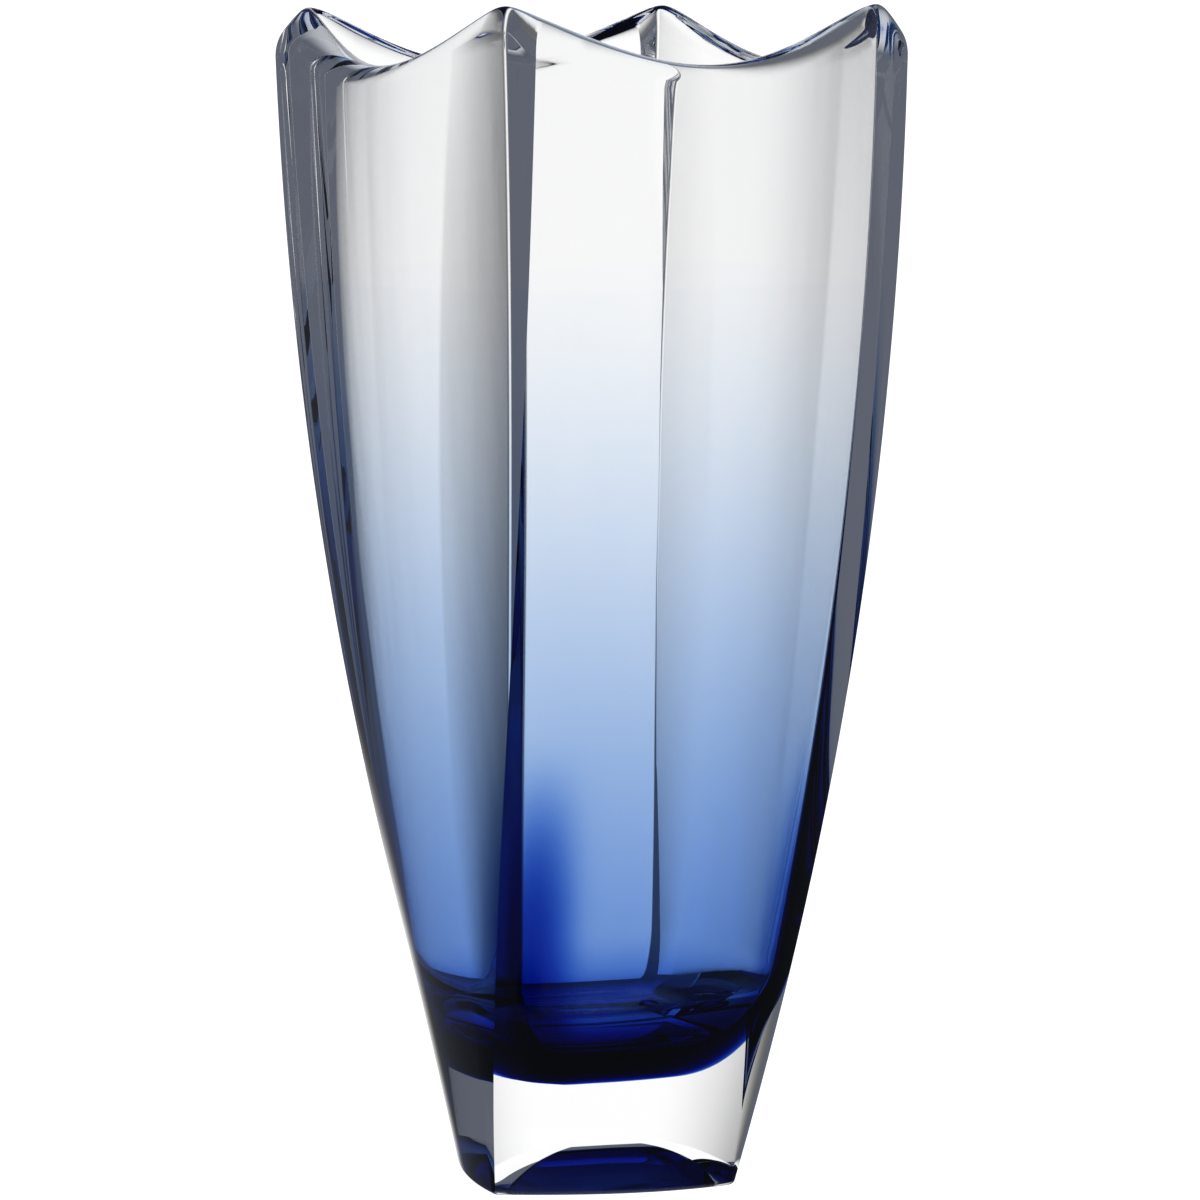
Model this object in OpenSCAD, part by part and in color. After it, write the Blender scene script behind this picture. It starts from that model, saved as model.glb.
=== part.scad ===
// Tall square vase in clear cut crystal with a sapphire glass gather fused
// inside its lower part.  Four long bulging faces meet at flat corner panels
// that open from nothing at the foot and lean round the vase as they rise.
// Origin: centre of the foot, on the plane the vase stands on.
// +Z is up, the front faces -Y, units are millimetres.

/* [Overall] */
// Height from the resting plane to the four rim peaks
height = 305; // [200:1:400]
// Depth of the scallop between two rim peaks
scallop_depth = 14.7; // [0:0.1:30]
// Softness of the rim peaks, as a share of half a scallop
peak_softness = 0.06; // [0.01:0.01:0.3]

/* [Outer ridges] */
// Distance of the foot's corners from the axis
foot_radius = 44.2; // [30:0.1:60]
// Distance of the crisp ridge from the axis at the rim
crisp_radius = 82.9; // [60:0.1:110]
// Distance of the soft ridge from the axis at the rim
soft_radius = 72.6; // [50:0.1:100]
// Angle of the foot's front corner from the front, negative to the left
foot_turn = -36.4; // [-60:0.1:60]
// Angle of the crisp ridge at the rim
crisp_turn = -8.4; // [-60:0.1:60]
// Angle of the soft ridge at the rim
soft_turn = -26.5; // [-60:0.1:60]
// Angle that a corner panel spans at the foot
foot_panel_span = 1.2; // [0.4:0.1:10]
// Roundness of the vertical flare, 1 is a straight taper
flare = 1.9; // [1:0.05:2]

/* [Outer faces] */
// Outward bulge of a long face at the foot
face_bulge_foot = 4.6; // [0:0.1:12]
// Outward bulge of a long face at the rim
face_bulge_rim = 2.5; // [0:0.1:12]
// Lean of that bulge towards the next soft ridge, 0 is even
face_bulge_skew = 0.35; // [0:0.01:1]
// Outward bulge of a corner panel at the rim
panel_bulge = 1; // [0:0.1:3]

/* [Rim] */
// Angle of the front rim peak
peak_turn = -15.3; // [-60:0.1:60]
// Height of the rounding on the rim's outer edge
rim_outer_round = 5; // [1:0.1:10]
// Height of the rounding on the rim's inner edge
rim_inner_round = 1.8; // [0.5:0.1:5]
// Share of the wall that the outer rounding takes
rim_crest = 0.6; // [0.2:0.05:0.8]
// Distance from the axis where the crisp corners start to be bevelled
bevel_start = 76.3; // [60:0.1:100]
// Fall of that bevel for each millimetre further out
bevel_slope = 0.75; // [0:0.05:2]

/* [Cavity] */
// Distance of the cavity's sharp corners from the axis, at 0.3 of the height
cavity_low_radius = 53; // [30:0.1:80]
// Distance of the cavity's sharp corners from the axis, at 0.6 of the height
cavity_mid_radius = 64.8; // [40:0.1:90]
// Distance of the cavity's sharp corners from the axis at the rim
cavity_rim_radius = 74.6; // [50:0.1:100]
// Angle of the cavity's front corner at 0.3 of the height
cavity_low_turn = -20.5; // [-60:0.1:60]
// Angle of the cavity's front corner at 0.6 of the height
cavity_mid_turn = -15.7; // [-60:0.1:60]
// Angle of the cavity's front corner at the rim
cavity_rim_turn = -14.8; // [-60:0.1:60]
// Outward bulge of a cavity face at 0.3 of the height
cavity_low_bulge = 5.5; // [0:0.1:12]
// Outward bulge of a cavity face at 0.6 of the height
cavity_mid_bulge = 5.8; // [0:0.1:12]
// Outward bulge of a cavity face at the rim
cavity_rim_bulge = 5; // [0:0.1:12]
// Corner radius of the cavity
cavity_corner = 0.9; // [0.5:0.1:10]
// Height of the cavity floor above the resting plane
floor_height = 37; // [20:0.5:80]
// Height over which the cavity wall sweeps round into the floor
floor_sweep = 22; // [2:0.5:40]
// Share of the cavity's width that the sweep takes
sweep_share = 0.6; // [0.1:0.01:0.95]

/* [Sapphire gather] */
// Height where the gather has thinned out
gather_top = 235; // [100:1:280]
// Thickness of the gather on the wall at floor level
gather_wall = 1.65; // [0.5:0.05:5]
// Thickness of the gather under the floor
gather_pool = 8; // [1:0.1:15]
// Thickness left at the gather's top edge
gather_edge = 0.2; // [0.05:0.05:1]
// How fast the gather thins with height
gather_taper = 1.5; // [1:0.1:4]
// How many times thicker, on top, the gather is beside the front corner
corner_extra = 5.5; // [0:0.1:8]
// Angle of that thick place from the cavity's corner
corner_shift = 5; // [-20:0.5:20]
// Half width of that thick place, as an angle
corner_width = 8; // [2:0.5:20]
// Height where it is thickest
corner_low = 72; // [40:1:120]
// Height where it has faded away
corner_high = 125; // [100:1:200]

/* [Foot] */
// Radius of the eased edge round the foot
foot_edge = 1.4; // [0.5:0.1:4]
// Depth of the polished hollow under the foot
punt_depth = 12; // [0:0.5:20]
// Size of that hollow as a share of the foot's outline
punt_share = 0.9; // [0.3:0.01:0.92]
// Shape of the hollow, 2 is a parabola and more is flatter in the middle
punt_power = 2.5; // [1.5:0.1:6]

/* [Hidden] */

panel_cols = 8;
face_cols = 18;
cols = 4 * (panel_cols + face_cols);
wall_rings = 15;
rim_rings = 5;
upper_rings = 5;
gather_rings = 12;
sweep_rings = 7;
foot_rings = 3;
punt_rings = 6;

// ---- helpers -------------------------------------------------------------

function lerp(a, b, t) = a + (b - a) * t;

// A point at distance r from the axis; turn counts from the front to +X.
function polar(r, turn) = [r * sin(turn), -r * cos(turn)];

function spin(p, q) =
    q == 0 ? p : spin([-p[1], p[0]], q - 1);

// Share of the full flare reached at relative height t.
function swell(t) = flare * t - (flare - 1) * t * t;

// Parabola with the three values at relative heights 0.3, 0.6 and 1.
function through(low, mid, rim, t) =
    low * (t - 0.6) * (t - 1) / 0.21
    - mid * (t - 0.3) * (t - 1) / 0.12
    + rim * (t - 0.3) * (t - 0.6) / 0.28;

// ---- outer surface -------------------------------------------------------

function soft_ridge(t) = polar(
    lerp(foot_radius, soft_radius, swell(t)),
    lerp(foot_turn - foot_panel_span / 2, soft_turn, pow(t, 2.5)));

function crisp_ridge(t) = polar(
    lerp(foot_radius, crisp_radius, swell(t)),
    lerp(foot_turn + foot_panel_span / 2, crisp_turn,
         0.3 * t + 0.7 * (1 - pow(1 - t, 2.6))));

// Point at share u of the way from p to q, bulged outwards by about sag.
// The bulge leans towards q by skew.
function bulged(p, q, u, sag, skew = 0) =
    let (d = q - p, n = [d[1], -d[0]] / norm(d))
    p + d * u + n * sag * 4 * u * (1 - u) * (1 + skew * (u - 0.5));

// Outer wall point of column k at relative height t.
function outer_point(k, t) =
    let (
        quarter = floor(k / (panel_cols + face_cols)),
        j = k % (panel_cols + face_cols),
        a = soft_ridge(t),
        b = crisp_ridge(t),
        next = spin(a, 1),
        width = norm(b - a),
        p = j < panel_cols
            ? bulged(a, b, j / panel_cols, panel_bulge * min(1, width / 26))
            : bulged(b, next, (j - panel_cols) / face_cols,
                     lerp(face_bulge_foot, face_bulge_rim, t), face_bulge_skew)
    )
    spin(p, quarter);

function turn_of(p) = atan2(p[0], -p[1]);

// ---- rim -----------------------------------------------------------------

// Angle from the nearest rim peak, -45 to 45.
function from_peak(turn) =
    let (w = (turn - peak_turn + 45) / 90)
    (w - floor(w)) * 90 - 45;

// Height of the rim's crest at a given angle.
function crest(turn) =
    let (
        s = peak_softness,
        u0 = abs(from_peak(turn)) / 45,
        u = (sqrt(u0 * u0 + s * s) - s) / (sqrt(1 + s * s) - s)
    )
    height - scallop_depth * (1 - pow(1 - u, 2));

function outer_drop(r) = rim_outer_round + bevel_slope * max(0, r - bevel_start);

// Relative height at which column k leaves the outer wall for the rim.
function edge_height(k, t = 1, n = 6) =
    n == 0 ? t :
    let (p = outer_point(k, t))
    edge_height(k, (crest(turn_of(p)) - outer_drop(norm(p))) / height, n - 1);

// ---- cavity --------------------------------------------------------------

// Angle of column k from the cavity corner it belongs to.  Columns crowd
// towards the corner so that its small radius is kept.
function cavity_phase(k) =
    let (
        quarter = floor(k / (panel_cols + face_cols)),
        j = k % (panel_cols + face_cols),
        before = cavity_rim_turn - soft_turn,
        after = crisp_turn - cavity_rim_turn,
        w = 2 * j / panel_cols - 1,
        u = (j - panel_cols) / face_cols
    )
    90 * quarter + (j < panel_cols
        ? (w < 0 ? -before : after) * pow(abs(w), 2.4)
        : lerp(after, 90 - before, u));

function cavity_turn(t) =
    through(cavity_low_turn, cavity_mid_turn, cavity_rim_turn, t);

// Distance of the cavity wall from the axis, at an angle from its corner.
function cavity_radius(phase, t) =
    let (
        corner = through(cavity_low_radius, cavity_mid_radius, cavity_rim_radius, t),
        a = corner / sqrt(2),
        rc = cavity_corner,
        w = (phase + 45) / 90,
        c = (w - floor(w)) * 90 - 45,
        f = 45 - abs(c),
        k = (a - rc) * sqrt(2),
        r = f < atan2(a - rc, a)
            ? a / cos(f)
            : k * cos(c) + sqrt(max(rc * rc - pow(k * sin(c), 2), 0)),
        u = min(1, tan(f) * a / (a - rc))
    )
    r + through(cavity_low_bulge, cavity_mid_bulge, cavity_rim_bulge, t) * (1 - u * u);

// Point on the cavity wall, pushed outwards by off.
function cavity_point(k, z, off = 0) =
    let (t = z / height, phase = cavity_phase(k))
    concat(polar(cavity_radius(phase, t) + off, cavity_turn(t) + phase), [z]);

// Height at which column k leaves the rim for the cavity wall.
function lip_height(k, z = height, n = 4) =
    n == 0 ? z :
    lip_height(k, crest(cavity_turn(z / height) + cavity_phase(k)) - rim_inner_round,
               n - 1);

// ---- sapphire gather -----------------------------------------------------

sweep_top = floor_height + floor_sweep;

// Thin on the faces, and thicker low down beside the front corners.
function gather_thickness(k, z) =
    let (
        v = min(1, max(0, (z - floor_height) / (gather_top - floor_height))),
        low = min(1, max(0, (corner_high - z) / (corner_high - corner_low))),
        phase = cavity_phase(k),
        w = (phase - corner_shift + 45) / 90,
        beside = ((w - floor(w)) * 90 - 45) / corner_width,
        front = 0.5 + 0.5 * cos(phase),
        extra = corner_extra * front * low * low * (3 - 2 * low) * exp(-beside * beside)
    )
    gather_wall * pow(1 - v, gather_taper) * (1 + extra) + gather_edge;

// Ring of the bowl-shaped bottom.  sweep is the angle from the wall (0) to
// the floor (90); grow is the wall thickness added outside the cavity and
// drop the depth added below its floor.
function bowl_point(k, sweep, grow, drop) =
    let (
        z = sweep_top - (floor_sweep + drop) * sin(sweep),
        t = max(z, floor_height) / height,
        phase = cavity_phase(k),
        wall = cavity_radius(phase, t),
        flat = wall * (1 - sweep_share),
        r = lerp(flat, wall + grow, cos(sweep))
    )
    concat(polar(r, cavity_turn(t) + phase), [z]);

// ---- rings, each a list of cols points ------------------------------------

all_cols = [for (k = [0:cols - 1]) k];
edge_heights = [for (k = all_cols) edge_height(k)];
lip_heights = [for (k = all_cols) lip_height(k)];

// Hollow of the underside, a shallow bowl that follows the foot's outline.
punt_ring = function(i)
    [for (k = all_cols)
        concat(outer_point(k, 0) * punt_share * i / punt_rings,
               [punt_depth * (1 - pow(i / punt_rings, punt_power))])];

// Eased edge of the foot, by angle from the resting plane to the wall.
foot_ring = function(i)
    let (
        a = 90 * i / foot_rings,
        z = foot_edge * (1 - cos(a)),
        inset = foot_edge * (1 - sin(a))
    )
    [for (k = all_cols)
        let (p = outer_point(k, z / height))
        concat(p * (1 - inset / norm(p)), [z])];

wall_ring = function(i)
    [for (k = all_cols)
        let (
            z = lerp(foot_edge, edge_heights[k] * height, i / wall_rings)
        )
        concat(outer_point(k, z / height), [z])];

// Rim, from the outer wall (share 0) over the crest to the cavity (share 1).
function rim_point(k, share, outer_sin, inner_cos) =
    let (
        o = outer_point(k, edge_heights[k]),
        q = cavity_point(k, lip_heights[k]),
        turn_o = turn_of(o),
        turn_q = turn_of(q),
        step = turn_q - turn_o,
        swing = step > 180 ? step - 360 : step < -180 ? step + 360 : step,
        turn = turn_o + swing * share,
        r = lerp(norm(o), norm([q[0], q[1]]), share),
        drop_o = crest(turn_o) - edge_heights[k] * height,
        fall = drop_o * (1 - outer_sin) + rim_inner_round * (1 - inner_cos)
    )
    concat(polar(r, turn), [crest(turn) - fall]);

outer_rim_ring = function(i)
    let (a = 90 * i / rim_rings)
    [for (k = all_cols) rim_point(k, rim_crest * (1 - cos(a)), sin(a), 1)];

inner_rim_ring = function(i)
    let (a = 90 * i / rim_rings)
    [for (k = all_cols)
        rim_point(k, rim_crest + (1 - rim_crest) * sin(a), 1, cos(a))];

upper_ring = function(i)
    [for (k = all_cols)
        cavity_point(k, lerp(lip_heights[k], gather_top, i / upper_rings))];

// Gather wall from its top edge (0) down to the start of the sweep.
function gather_z(i) = lerp(gather_top, sweep_top, i / gather_rings);

inside_ring = function(i)
    [for (k = all_cols) cavity_point(k, gather_z(i))];

outside_ring = function(i)
    [for (k = all_cols) cavity_point(k, gather_z(i), gather_thickness(k, gather_z(i)))];

inside_sweep = function(i)
    [for (k = all_cols) bowl_point(k, 90 * i / sweep_rings, 0, 0)];

outside_sweep = function(i)
    [for (k = all_cols)
        bowl_point(k, 90 * i / sweep_rings, gather_thickness(k, sweep_top), gather_pool)];

// ---- solids --------------------------------------------------------------

// Closed skin through a list of rings.  The first and last rings are each
// closed with a fan to a point on the axis.
module skin(rings) {
    n = len(rings);
    first_z = rings[0][0][2];
    last_z = rings[n - 1][0][2];
    points = concat([for (ring = rings) each ring],
                    [[0, 0, first_z], [0, 0, last_z]]);
    sides = [for (m = [0:n - 2]) for (k = all_cols)
        let (
            a = m * cols + k,
            b = m * cols + (k + 1) % cols,
            c = b + cols,
            d = a + cols
        )
        each [[a, c, b], [a, d, c]]];
    start = [for (k = all_cols) [n * cols, k, (k + 1) % cols]];
    end = [for (k = all_cols)
        [n * cols + 1, (n - 1) * cols + (k + 1) % cols, (n - 1) * cols + k]];
    polyhedron(points = points, faces = concat(sides, start, end), convexity = 10);
}

module crystal_body() {
    color([0.93, 0.96, 1.0, 0.35])
        skin(concat(
            [for (i = [1:punt_rings]) punt_ring(i)],
            [for (i = [0:foot_rings]) foot_ring(i)],
            [for (i = [1:wall_rings]) wall_ring(i)],
            [for (i = [1:rim_rings]) outer_rim_ring(i)],
            [for (i = [1:rim_rings]) inner_rim_ring(i)],
            [for (i = [1:upper_rings]) upper_ring(i)],
            [for (i = [0:gather_rings]) outside_ring(i)],
            [for (i = [1:sweep_rings]) outside_sweep(i)]
        ));
}

module sapphire_lining() {
    color([0.05, 0.2, 0.85, 0.6])
        skin(concat(
            [for (i = [sweep_rings:-1:1]) outside_sweep(i)],
            [for (i = [gather_rings:-1:0]) outside_ring(i)],
            [for (i = [0:gather_rings]) inside_ring(i)],
            [for (i = [1:sweep_rings]) inside_sweep(i)]
        ));
}

crystal_body();
sapphire_lining();
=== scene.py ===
import math

import bpy
import bmesh
import numpy as np
from mathutils import Matrix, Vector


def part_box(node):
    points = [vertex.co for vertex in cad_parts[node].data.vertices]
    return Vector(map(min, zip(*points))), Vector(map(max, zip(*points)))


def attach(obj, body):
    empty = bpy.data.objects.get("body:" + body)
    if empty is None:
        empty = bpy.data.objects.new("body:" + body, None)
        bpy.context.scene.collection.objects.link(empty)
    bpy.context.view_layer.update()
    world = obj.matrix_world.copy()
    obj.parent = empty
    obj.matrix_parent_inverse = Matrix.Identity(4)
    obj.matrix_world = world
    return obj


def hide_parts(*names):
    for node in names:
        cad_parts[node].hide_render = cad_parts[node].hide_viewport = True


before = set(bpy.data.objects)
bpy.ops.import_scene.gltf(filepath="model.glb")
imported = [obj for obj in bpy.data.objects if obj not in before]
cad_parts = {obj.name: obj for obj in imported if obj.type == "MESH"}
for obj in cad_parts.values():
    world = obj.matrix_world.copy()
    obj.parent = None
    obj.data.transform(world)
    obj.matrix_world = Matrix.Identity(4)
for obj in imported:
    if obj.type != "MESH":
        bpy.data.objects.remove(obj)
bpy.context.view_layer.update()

body_low, body_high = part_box("crystal_body")

# ---------------------------------------------------------------- dimensions
# Same surface as the CAD part, in millimetres, with finer rings and columns.
HEIGHT = (body_high.z - body_low.z) * 1000
SCALLOP = 14.7
PEAK_SOFT = 0.06
FOOT_R, CRISP_R, SOFT_R = 44.2, 82.9, 72.6
FOOT_TURN, CRISP_TURN, SOFT_TURN = -36.4, -8.4, -26.5
FOOT_SPAN = 1.2
FLARE = 1.9
BULGE_FOOT, BULGE_RIM, BULGE_SKEW, PANEL_BULGE = 4.6, 2.5, 0.35, 1.0
ROUND_OUT, ROUND_IN, CREST_SHARE = 5.0, 1.8, 0.6
BEVEL_START, BEVEL_SLOPE = 76.3, 0.75
CAV_LOW_R, CAV_MID_R, CAV_RIM_R = 53.0, 64.8, 74.6
CAV_LOW_TURN, CAV_MID_TURN, CAV_RIM_TURN = -20.5, -15.7, -14.8
CAV_LOW_BULGE, CAV_MID_BULGE, CAV_RIM_BULGE = 5.5, 5.8, 5.0
CAV_CORNER = 0.9
PEAK_TURN = -15.3
FLOOR_Z, SWEEP, SWEEP_SHARE = 37.0, 22.0, 0.6
GATHER_TOP, GATHER_WALL, GATHER_POOL = 235.0, 1.65, 8.0
GATHER_EDGE, GATHER_TAPER = 0.02, 1.5
CORNER_EXTRA, CORNER_SHIFT, CORNER_WIDTH = 5.5, 5.0, 8.0
CORNER_LOW, CORNER_HIGH = 72.0, 125.0
FOOT_EDGE, PUNT_DEPTH, PUNT_SHARE, PUNT_POWER = 1.4, 12.0, 0.9, 2.5
SKIN_GAP = 0.05
RIPPLE = 0.00006
SHARP_DEG = 22
CLEAR_STREAKS, BLUE_STREAKS = (55, 55, 7), (120, 120, 12)
GLASS_IOR = 1.52
BLUE_COLOUR, BLUE_DENSITY = (0.05, 0.38, 0.8, 1), 640.0
STREAK_COLOUR = (0.986, 0.993, 1, 1)

PANEL_COLS, FACE_COLS = ((40, 110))
PER_SIDE = PANEL_COLS + FACE_COLS
COLS = 4 * PER_SIDE
WALL_RINGS, RIM_RINGS, CAVITY_RINGS = ((160, 14, 150))
GATHER_RINGS, SWEEP_RINGS = ((90, 20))


def lerp(a, b, t):
    return a + (b - a) * t


def polar(r, turn):
    return np.stack([r * np.sin(turn), -r * np.cos(turn)], -1)


def swell(t):
    return FLARE * t - (FLARE - 1) * t * t


def through(low, mid, rim, t):
    """Parabola with the three values at relative heights 0.3, 0.6 and 1."""
    return (
        low * (t - 0.6) * (t - 1) / 0.21
        - mid * (t - 0.3) * (t - 1) / 0.12
        + rim * (t - 0.3) * (t - 0.6) / 0.28
    )


column = np.arange(COLS)
quarter = column // PER_SIDE
within = column % PER_SIDE
on_panel = within < PANEL_COLS
along = np.where(on_panel, within / PANEL_COLS, (within - PANEL_COLS) / FACE_COLS)


def soft_ridge(t):
    turn = lerp(FOOT_TURN - FOOT_SPAN / 2, SOFT_TURN, t**2.5)
    return polar(lerp(FOOT_R, SOFT_R, swell(t)), np.radians(turn))


def crisp_ridge(t):
    turn = lerp(FOOT_TURN + FOOT_SPAN / 2, CRISP_TURN, 0.3 * t + 0.7 * (1 - (1 - t) ** 2.6))
    return polar(lerp(FOOT_R, CRISP_R, swell(t)), np.radians(turn))


def outer_xy(t):
    """Outer wall points of every column, each at its own relative height t."""
    a, b = soft_ridge(t), crisp_ridge(t)
    following = np.stack([-a[:, 1], a[:, 0]], 1)
    start = np.where(on_panel[:, None], a, b)
    end = np.where(on_panel[:, None], b, following)
    d = end - start
    length = np.hypot(d[:, 0], d[:, 1])
    sag = np.where(on_panel, PANEL_BULGE * np.minimum(1, length / 26), lerp(BULGE_FOOT, BULGE_RIM, t))
    sag = sag * 4 * along * (1 - along) * (1 + np.where(on_panel, 0, BULGE_SKEW) * (along - 0.5))
    normal = np.stack([d[:, 1], -d[:, 0]], 1) / length[:, None]
    p = start + d * along[:, None] + normal * sag[:, None]
    for q in (1, 2, 3):
        turned = quarter >= q
        p[turned] = np.stack([-p[turned, 1], p[turned, 0]], 1)
    return p


def turn_of(p):
    return np.arctan2(p[:, 0], -p[:, 1])


def crest(turn):
    """Height of the rim's crest, scalloped between its four peaks."""
    phase = (turn - math.radians(PEAK_TURN) + math.pi / 4) % (math.pi / 2) - math.pi / 4
    s = PEAK_SOFT
    u = (np.sqrt((phase / (math.pi / 4)) ** 2 + s * s) - s) / (math.sqrt(1 + s * s) - s)
    return HEIGHT - SCALLOP * (1 - (1 - u) ** 2)


before, after = CAV_RIM_TURN - SOFT_TURN, CRISP_TURN - CAV_RIM_TURN
crowd = 2 * along - 1
phase_deg = 90 * quarter + np.where(
    on_panel,
    np.where(crowd < 0, -before, after) * np.abs(crowd) ** 2.4,
    lerp(after, 90 - before, along),
)


def cavity_turn(t):
    return through(CAV_LOW_TURN, CAV_MID_TURN, CAV_RIM_TURN, t)


def cavity_radius(t):
    corner = through(CAV_LOW_R, CAV_MID_R, CAV_RIM_R, t)
    a = corner / math.sqrt(2)
    rc = CAV_CORNER
    c = np.radians((phase_deg + 45) % 90 - 45)
    f = math.pi / 4 - np.abs(c)
    k = (a - rc) * math.sqrt(2)
    r = np.where(
        f < np.arctan2(a - rc, a),
        a / np.cos(f),
        k * np.cos(c) + np.sqrt(np.maximum(rc * rc - (k * np.sin(c)) ** 2, 0)),
    )
    u = np.minimum(1, np.tan(f) * a / (a - rc))
    return r + through(CAV_LOW_BULGE, CAV_MID_BULGE, CAV_RIM_BULGE, t) * (1 - u * u)


def ring(xy, z):
    return np.concatenate([xy, np.broadcast_to(z, (COLS,))[:, None]], 1)


def cavity_ring(z, off=0.0):
    t = np.broadcast_to(z, (COLS,)) / HEIGHT
    turn = np.radians(cavity_turn(t) + phase_deg)
    return ring(polar(cavity_radius(t) + off, turn), z)


def bowl_ring(share, grow, drop, gap=0.0):
    """Ring of the rounded bottom; share 0 is the wall and 1 the floor."""
    angle = share * math.pi / 2
    z = FLOOR_Z + SWEEP - (SWEEP + drop) * math.sin(angle)
    t = np.full(COLS, max(z, FLOOR_Z) / HEIGHT)
    wall = cavity_radius(t)
    r = lerp(wall * (1 - SWEEP_SHARE), wall + grow, math.cos(angle))
    turn = np.radians(cavity_turn(t) + phase_deg)
    return ring(polar(r + gap * math.cos(angle), turn), z - gap * math.sin(angle))


def shrunk(last, shares):
    return [ring(last[:, :2] * s, last[:, 2]) for s in shares]


def gather_thickness(z):
    """Thin on the faces, and thicker low down beside the front corners."""
    v = min(1.0, max(0.0, (z - FLOOR_Z) / (GATHER_TOP - FLOOR_Z)))
    low = min(1.0, max(0.0, (CORNER_HIGH - z) / (CORNER_HIGH - CORNER_LOW)))
    beside = ((phase_deg - CORNER_SHIFT + 45) % 90 - 45) / CORNER_WIDTH
    front = 0.5 + 0.5 * np.cos(np.radians(phase_deg))
    extra = CORNER_EXTRA * front * low * low * (3 - 2 * low) * np.exp(-(beside**2))
    return GATHER_WALL * (1 - v) ** GATHER_TAPER * (1 + extra) + GATHER_EDGE


def crystal_rings():
    edge = np.ones(COLS)
    for _ in range(6):
        p = outer_xy(edge)
        r = np.hypot(p[:, 0], p[:, 1])
        drop = ROUND_OUT + BEVEL_SLOPE * np.maximum(0, r - BEVEL_START)
        edge = (crest(turn_of(p)) - drop) / HEIGHT
    outer_edge = outer_xy(edge)
    lip = np.full(COLS, HEIGHT)
    for _ in range(4):
        lip = crest(np.radians(cavity_turn(lip / HEIGHT) + phase_deg)) - ROUND_IN
    inner_edge = cavity_ring(lip)

    rings = []
    foot = outer_xy(np.zeros(COLS))
    for share in np.linspace(0.03, 1, 24):
        rings.append(ring(foot * PUNT_SHARE * share, PUNT_DEPTH * (1 - share**PUNT_POWER)))
    for share in np.linspace(0, 1, 7):
        angle = share * math.pi / 2
        z = FOOT_EDGE * (1 - math.cos(angle))
        p = outer_xy(np.full(COLS, z / HEIGHT))
        inset = FOOT_EDGE * (1 - math.sin(angle))
        rings.append(ring(p * (1 - inset / np.hypot(p[:, 0], p[:, 1]))[:, None], z))
    for share in np.linspace(0, 1, WALL_RINGS + 1)[1:]:
        z = lerp(FOOT_EDGE, edge * HEIGHT, share)
        rings.append(ring(outer_xy(z / HEIGHT), z))

    turn_o, turn_q = turn_of(outer_edge), turn_of(inner_edge)
    swing = (turn_q - turn_o + math.pi) % (2 * math.pi) - math.pi
    r_o = np.hypot(outer_edge[:, 0], outer_edge[:, 1])
    r_q = np.hypot(inner_edge[:, 0], inner_edge[:, 1])
    drop_o = crest(turn_o) - edge * HEIGHT

    def rim_ring(share, outer_sin, inner_cos):
        turn = turn_o + swing * share
        fall = drop_o * (1 - outer_sin) + ROUND_IN * (1 - inner_cos)
        return ring(polar(lerp(r_o, r_q, share), turn), crest(turn) - fall)

    for share in np.linspace(0, 1, RIM_RINGS + 1)[1:]:
        a = share * math.pi / 2
        rings.append(rim_ring(CREST_SHARE * (1 - math.cos(a)), math.sin(a), 1))
    for share in np.linspace(0, 1, RIM_RINGS + 1)[1:]:
        a = share * math.pi / 2
        rings.append(rim_ring(CREST_SHARE + (1 - CREST_SHARE) * math.sin(a), 1, math.cos(a)))
    for share in np.linspace(0, 1, CAVITY_RINGS + 1)[1:]:
        rings.append(cavity_ring(lerp(lip, FLOOR_Z + SWEEP, share)))
    for share in np.linspace(0, 1, SWEEP_RINGS + 1)[1:]:
        rings.append(bowl_ring(share, 0, 0))
    rings += shrunk(rings[-1], np.linspace(1, 0.03, 14)[1:])
    return rings


def gather_rings():
    heights = np.linspace(GATHER_TOP, FLOOR_Z + SWEEP, GATHER_RINGS)
    inside = [cavity_ring(z, SKIN_GAP) for z in heights]
    inside += [bowl_ring(s, 0, 0, SKIN_GAP) for s in np.linspace(0, 1, SWEEP_RINGS + 1)[1:]]
    inside += shrunk(inside[-1], np.linspace(1, 0.03, 12)[1:])
    outside = [cavity_ring(z, SKIN_GAP + gather_thickness(z)) for z in heights]
    wall = gather_thickness(FLOOR_Z + SWEEP)
    outside += [bowl_ring(s, wall, GATHER_POOL, SKIN_GAP) for s in np.linspace(0, 1, SWEEP_RINGS + 1)[1:]]
    outside += shrunk(outside[-1], np.linspace(1, 0.03, 12)[1:])
    return inside[::-1] + outside


def mesh_from(rings, name):
    count = len(rings)
    verts = np.concatenate(rings) / 1000.0
    ends = [[0, 0, rings[0][0, 2] / 1000], [0, 0, rings[-1][0, 2] / 1000]]
    verts = np.vstack([verts, ends])
    i = np.arange(COLS)
    j = (i + 1) % COLS
    faces = []
    for m in range(count - 1):
        a = m * COLS
        faces += np.stack([a + i, a + j, a + COLS + j, a + COLS + i], 1).tolist()
    top = (count - 1) * COLS
    faces += np.stack([np.full(COLS, count * COLS), j, i], 1).tolist()
    faces += np.stack([np.full(COLS, count * COLS + 1), top + i, top + j], 1).tolist()
    mesh = bpy.data.meshes.new(name)
    mesh.from_pydata(verts.tolist(), [], faces)
    bm = bmesh.new()
    bm.from_mesh(mesh)
    bmesh.ops.recalc_face_normals(bm, faces=bm.faces)
    bm.to_mesh(mesh)
    bm.free()
    mesh.polygons.foreach_set("use_smooth", [True] * len(mesh.polygons))
    mesh.set_sharp_from_angle(angle=math.radians(SHARP_DEG))
    obj = bpy.data.objects.new(name, mesh)
    bpy.context.scene.collection.objects.link(obj)
    return obj


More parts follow.
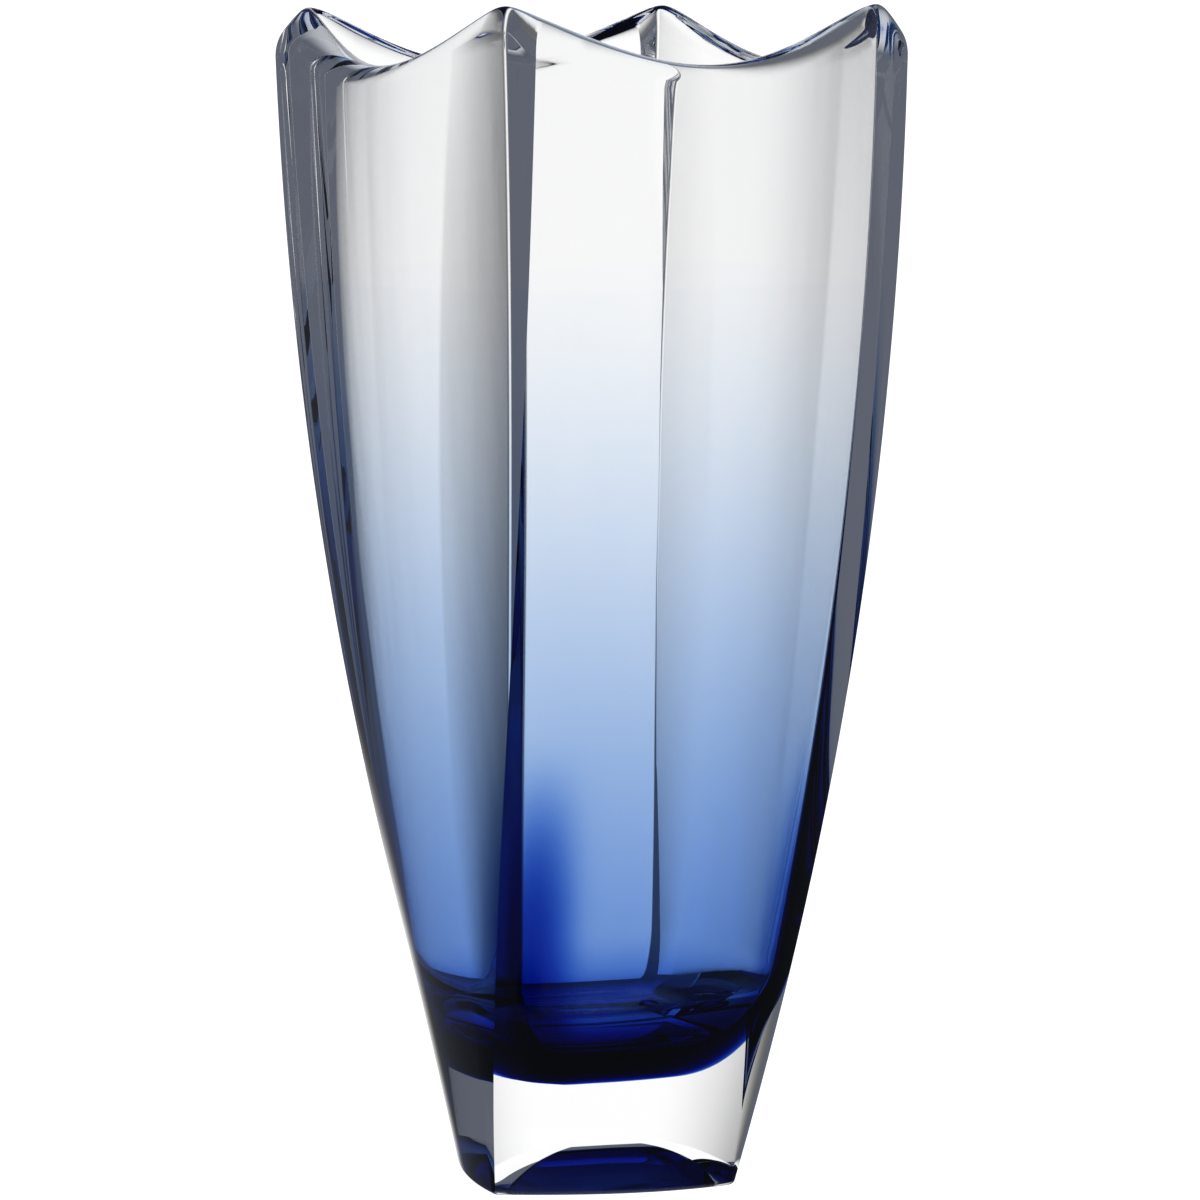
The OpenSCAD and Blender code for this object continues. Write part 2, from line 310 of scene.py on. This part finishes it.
crystal = mesh_from(crystal_rings(), "crystal_vase")
gather = mesh_from(gather_rings(), "sapphire_gather")
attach(crystal, "root")
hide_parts("crystal_body")
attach(gather, "root")
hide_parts("sapphire_lining")


# ---------------------------------------------------------------- materials
def new_material(name):
    material = bpy.data.materials.new(name)
    material.use_nodes = True
    tree = material.node_tree
    tree.nodes.clear()
    return material, tree, tree.nodes.new("ShaderNodeOutputMaterial")


def streaks(tree, scale, detail):
    """Soft noise drawn out along the vase's height."""
    coord = tree.nodes.new("ShaderNodeTexCoord")
    mapping = tree.nodes.new("ShaderNodeMapping")
    mapping.inputs["Scale"].default_value = scale
    noise = tree.nodes.new("ShaderNodeTexNoise")
    noise.inputs["Scale"].default_value = 1.0
    noise.inputs["Detail"].default_value = detail
    tree.links.new(coord.outputs["Object"], mapping.inputs["Vector"])
    tree.links.new(mapping.outputs["Vector"], noise.inputs["Vector"])
    return noise.outputs["Fac"]


def crystal_material():
    material, tree, out = new_material("clear_crystal")
    glass = tree.nodes.new("ShaderNodeBsdfPrincipled")
    glass.inputs["Base Color"].default_value = (1, 1, 1, 1)
    glass.inputs["IOR"].default_value = GLASS_IOR
    glass.inputs["Transmission Weight"].default_value = 1.0
    glass.inputs["Roughness"].default_value = 0.0
    wave = streaks(tree, CLEAR_STREAKS, 2.0)
    bump = tree.nodes.new("ShaderNodeBump")
    bump.inputs["Strength"].default_value = 1.0
    bump.inputs["Distance"].default_value = RIPPLE
    tree.links.new(wave, bump.inputs["Height"])
    tree.links.new(bump.outputs[0], glass.inputs["Normal"])
    tree.links.new(glass.outputs[0], out.inputs["Surface"])
    return material


def sapphire_material():
    material, tree, out = new_material("sapphire_glass")
    glass = tree.nodes.new("ShaderNodeBsdfPrincipled")
    glass.inputs["Base Color"].default_value = (1, 1, 1, 1)
    glass.inputs["IOR"].default_value = 1.0
    glass.inputs["Transmission Weight"].default_value = 1.0
    glass.inputs["Roughness"].default_value = 0.0
    cords = tree.nodes.new("ShaderNodeValToRGB")
    cords.color_ramp.elements[0].position = 0.35
    cords.color_ramp.elements[0].color = STREAK_COLOUR
    cords.color_ramp.elements[1].position = 0.65
    cords.color_ramp.elements[1].color = (1, 1, 1, 1)
    tree.links.new(streaks(tree, BLUE_STREAKS, 3.0), cords.inputs[0])
    tree.links.new(cords.outputs[0], glass.inputs["Base Color"])
    absorb = tree.nodes.new("ShaderNodeVolumeAbsorption")
    absorb.inputs["Color"].default_value = BLUE_COLOUR
    absorb.inputs["Density"].default_value = BLUE_DENSITY
    tree.links.new(glass.outputs[0], out.inputs["Surface"])
    tree.links.new(absorb.outputs[0], out.inputs["Volume"])
    return material


crystal.data.materials.append(crystal_material())
gather.data.materials.append(sapphire_material())


# ---------------------------------------------------------------- studio
# A soft lit card behind the vase and one behind the camera, in even grey surroundings.
CARDS = (("back_card", 1.2), ("front_card", -1.7))
CARD_WIDTH, CARD_HEIGHT = 0.2, 1.8
CARD_SOFT_EDGE = 0.4
CARD_STRENGTH = 0.9
SURROUND = (0.12, 0.13, 0.16, 1)
TABLE_LIGHT = (0.6, 0.62, 0.65, 1)
TABLE_EDGE, TABLE_FULL = -0.6, -0.9


def soft_step(tree, value, start, end, start_level, end_level):
    step = tree.nodes.new("ShaderNodeMapRange")
    step.interpolation_type = "SMOOTHSTEP"
    step.inputs["From Min"].default_value = start
    step.inputs["From Max"].default_value = end
    step.inputs["To Min"].default_value = start_level
    step.inputs["To Max"].default_value = end_level
    tree.links.new(value, step.inputs["Value"])
    return step.outputs[0]


def studio_world():
    """White for the camera, and for the glass an even cool grey over a pale table."""
    world = bpy.data.worlds.new("studio")
    bpy.context.scene.world = world
    world.use_nodes = True
    tree = world.node_tree
    tree.nodes.clear()
    out = tree.nodes.new("ShaderNodeOutputWorld")
    background = tree.nodes.new("ShaderNodeBackground")
    coord = tree.nodes.new("ShaderNodeTexCoord")
    split = tree.nodes.new("ShaderNodeSeparateXYZ")
    tree.links.new(coord.outputs["Generated"], split.inputs[0])
    table = soft_step(tree, split.outputs["Z"], TABLE_EDGE, TABLE_FULL, 0.0, 1.0)
    around = tree.nodes.new("ShaderNodeMixRGB")
    around.inputs[1].default_value = SURROUND
    around.inputs[2].default_value = TABLE_LIGHT
    tree.links.new(table, around.inputs[0])
    seen = tree.nodes.new("ShaderNodeLightPath")
    pick = tree.nodes.new("ShaderNodeMixRGB")
    pick.inputs[2].default_value = (1, 1, 1, 1)
    tree.links.new(seen.outputs["Is Camera Ray"], pick.inputs[0])
    tree.links.new(around.outputs[0], pick.inputs[1])
    tree.links.new(pick.outputs[0], background.inputs[0])
    tree.links.new(background.outputs[0], out.inputs[0])


def soft_light():
    """Even in the middle, fading smoothly into the surroundings at both sides."""
    material, tree, out = new_material("card_light")
    coord = tree.nodes.new("ShaderNodeTexCoord")
    split = tree.nodes.new("ShaderNodeSeparateXYZ")
    tree.links.new(coord.outputs["Object"], split.inputs[0])
    side = tree.nodes.new("ShaderNodeMath")
    side.operation = "ABSOLUTE"
    tree.links.new(split.outputs["X"], side.inputs[0])
    half = CARD_WIDTH / 2
    level = soft_step(tree, side.outputs[0], half, half + CARD_SOFT_EDGE, CARD_STRENGTH, SURROUND[1])
    glow = tree.nodes.new("ShaderNodeEmission")
    tree.links.new(level, glow.inputs["Strength"])
    tree.links.new(glow.outputs[0], out.inputs["Surface"])
    return material


def studio_cards():
    """Seen only through and in the glass."""
    light = soft_light()
    half = CARD_WIDTH / 2 + CARD_SOFT_EDGE
    low, high = -CARD_HEIGHT / 2, CARD_HEIGHT / 2
    for name, distance in CARDS:
        mesh = bpy.data.meshes.new(name)
        corners = [(-half, 0, low), (half, 0, low), (half, 0, high), (-half, 0, high)]
        mesh.from_pydata(corners, [], [(0, 1, 2, 3)])
        mesh.materials.append(light)
        obj = bpy.data.objects.new(name, mesh)
        obj.location = (0, distance, body_high.z / 2)
        bpy.context.scene.collection.objects.link(obj)
        obj.visible_camera = False
        obj.visible_shadow = False


def stand():
    bm = bmesh.new()
    bmesh.ops.create_circle(bm, cap_ends=True, segments=96, radius=0.6)
    mesh = bpy.data.meshes.new("floor")
    bm.to_mesh(mesh)
    bm.free()
    obj = bpy.data.objects.new("floor", mesh)
    obj.location.z = body_low.z - 0.0002
    bpy.context.scene.collection.objects.link(obj)
    material, tree, out = new_material("pale_floor")
    matt = tree.nodes.new("ShaderNodeBsdfDiffuse")
    matt.inputs["Color"].default_value = (0.2, 0.2, 0.2, 1)
    glow = tree.nodes.new("ShaderNodeEmission")
    glow.inputs["Strength"].default_value = 0.97
    both = tree.nodes.new("ShaderNodeAddShader")
    tree.links.new(matt.outputs[0], both.inputs[0])
    tree.links.new(glow.outputs[0], both.inputs[1])
    tree.links.new(both.outputs[0], out.inputs["Surface"])
    mesh.materials.append(material)
    obj.visible_transmission = False
    obj.visible_glossy = False


studio_world()
studio_cards()
stand()

# ---------------------------------------------------------------- camera
FOCAL = 146.7
DISTANCE = 1.271
TILT, ROLL = 6.931, -0.35
lens = bpy.data.cameras.new("camera")
lens.lens = FOCAL
lens.sensor_width = 36
lens.clip_start = 0.01
camera = bpy.data.objects.new("camera", lens)
bpy.context.scene.collection.objects.link(camera)
bpy.context.scene.camera = camera
camera.location = (0.0021, -DISTANCE, body_high.z)
aim = Matrix.Rotation(math.radians(90 - TILT), 3, "X") @ Matrix.Rotation(math.radians(ROLL), 3, "Z")
camera.rotation_euler = aim.to_euler()

scene = bpy.context.scene
scene.view_settings.view_transform = "Standard"
scene.view_settings.look = "Medium High Contrast"
scene.cycles.use_denoising = True
scene.cycles.max_bounces = 48
scene.cycles.transmission_bounces = 48
scene.cycles.glossy_bounces = 16
scene.cycles.transparent_max_bounces = 32
